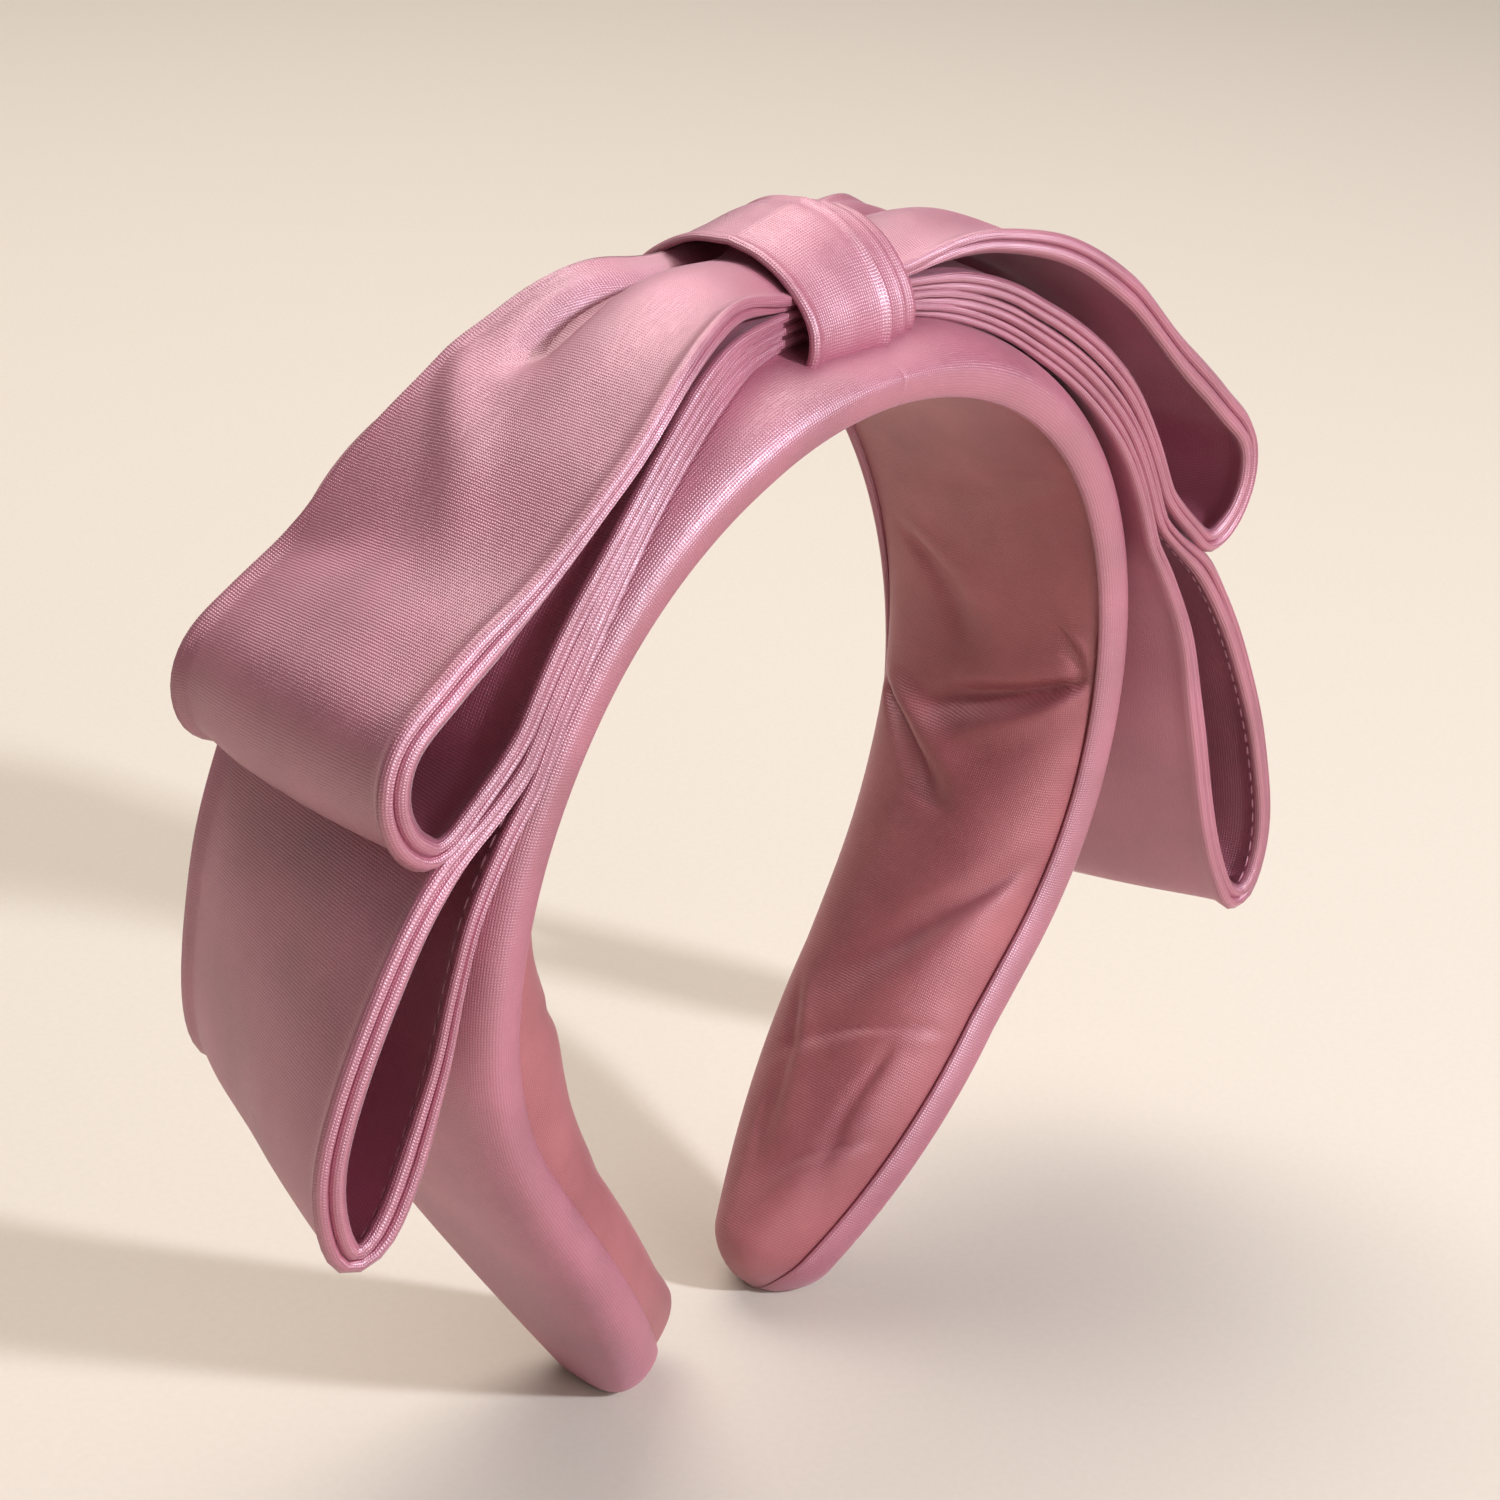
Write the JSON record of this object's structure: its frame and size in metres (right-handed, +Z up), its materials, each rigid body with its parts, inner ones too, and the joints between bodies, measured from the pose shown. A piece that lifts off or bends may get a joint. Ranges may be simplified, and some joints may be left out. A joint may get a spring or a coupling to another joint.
{
  "type": "knotted bow headband",
  "caption": "Wide padded satin headband with a two-tier bow held by a wrapped knot on the crown; sprung arms flex open over the head.",
  "frame": {"origin": "centre of the circle that the crown of the band follows over the head, midway between the front and back edges", "axes": "+X to the right across the head, +Y from the front edge to the back edge, +Z up through the knot"},
  "size_m": [0.19, 0.05, 0.168],
  "materials": {
    "satin": "satin weave, soft sheen",
    "lining_satin": "satin weave, soft sheen",
    "core_plastic": "moulded",
    "foam": "open-cell sheet",
    "interlining": "non-woven",
    "sewing_thread": "twisted thread"
  },
  "bodies": {
    "crown": {"crown_core": "core_plastic", "crown_inner_pad": "foam", "crown_foam_pad": "foam", "crown_lining": "lining_satin", "crown_cover": "satin", "crown_seam_thread": "sewing_thread", "knot_wrap": "satin", "upper_bow_waist": "satin", "lower_bow_waist": "satin", "waist_binding": "sewing_thread", "bow_tacks": "sewing_thread"},
    "left_arm": {"left_arm_core": "core_plastic", "left_arm_inner_pad": "foam", "left_arm_foam_pad": "foam", "left_arm_lining": "lining_satin", "left_arm_cover": "satin", "left_arm_seam_thread": "sewing_thread", "left_upper_loop_satin": "satin", "left_upper_loop_interlining": "interlining", "left_upper_loop_facing": "satin", "left_lower_loop_satin": "satin", "left_lower_loop_interlining": "interlining", "left_lower_loop_facing": "satin"},
    "right_arm": {"right_arm_core": "core_plastic", "right_arm_inner_pad": "foam", "right_arm_foam_pad": "foam", "right_arm_lining": "lining_satin", "right_arm_cover": "satin", "right_arm_seam_thread": "sewing_thread", "right_upper_loop_satin": "satin", "right_upper_loop_interlining": "interlining", "right_upper_loop_facing": "satin", "right_lower_loop_satin": "satin", "right_lower_loop_interlining": "interlining", "right_lower_loop_facing": "satin"}
  },
  "joints": [
    {"name": "left_flex", "type": "hinge", "parent": "crown", "child": "left_arm", "pos_m": [-0.0125, 0, 0.05684], "axis": [0, 1, 0], "range_deg": [-3, 14], "stiffness_Nm_per_rad": 1.35},
    {"name": "right_flex", "type": "hinge", "parent": "crown", "child": "right_arm", "pos_m": [0.0125, 0, 0.05684], "axis": [0, -1, 0], "range_deg": [-3, 14], "stiffness_Nm_per_rad": 1.35}
  ]
}
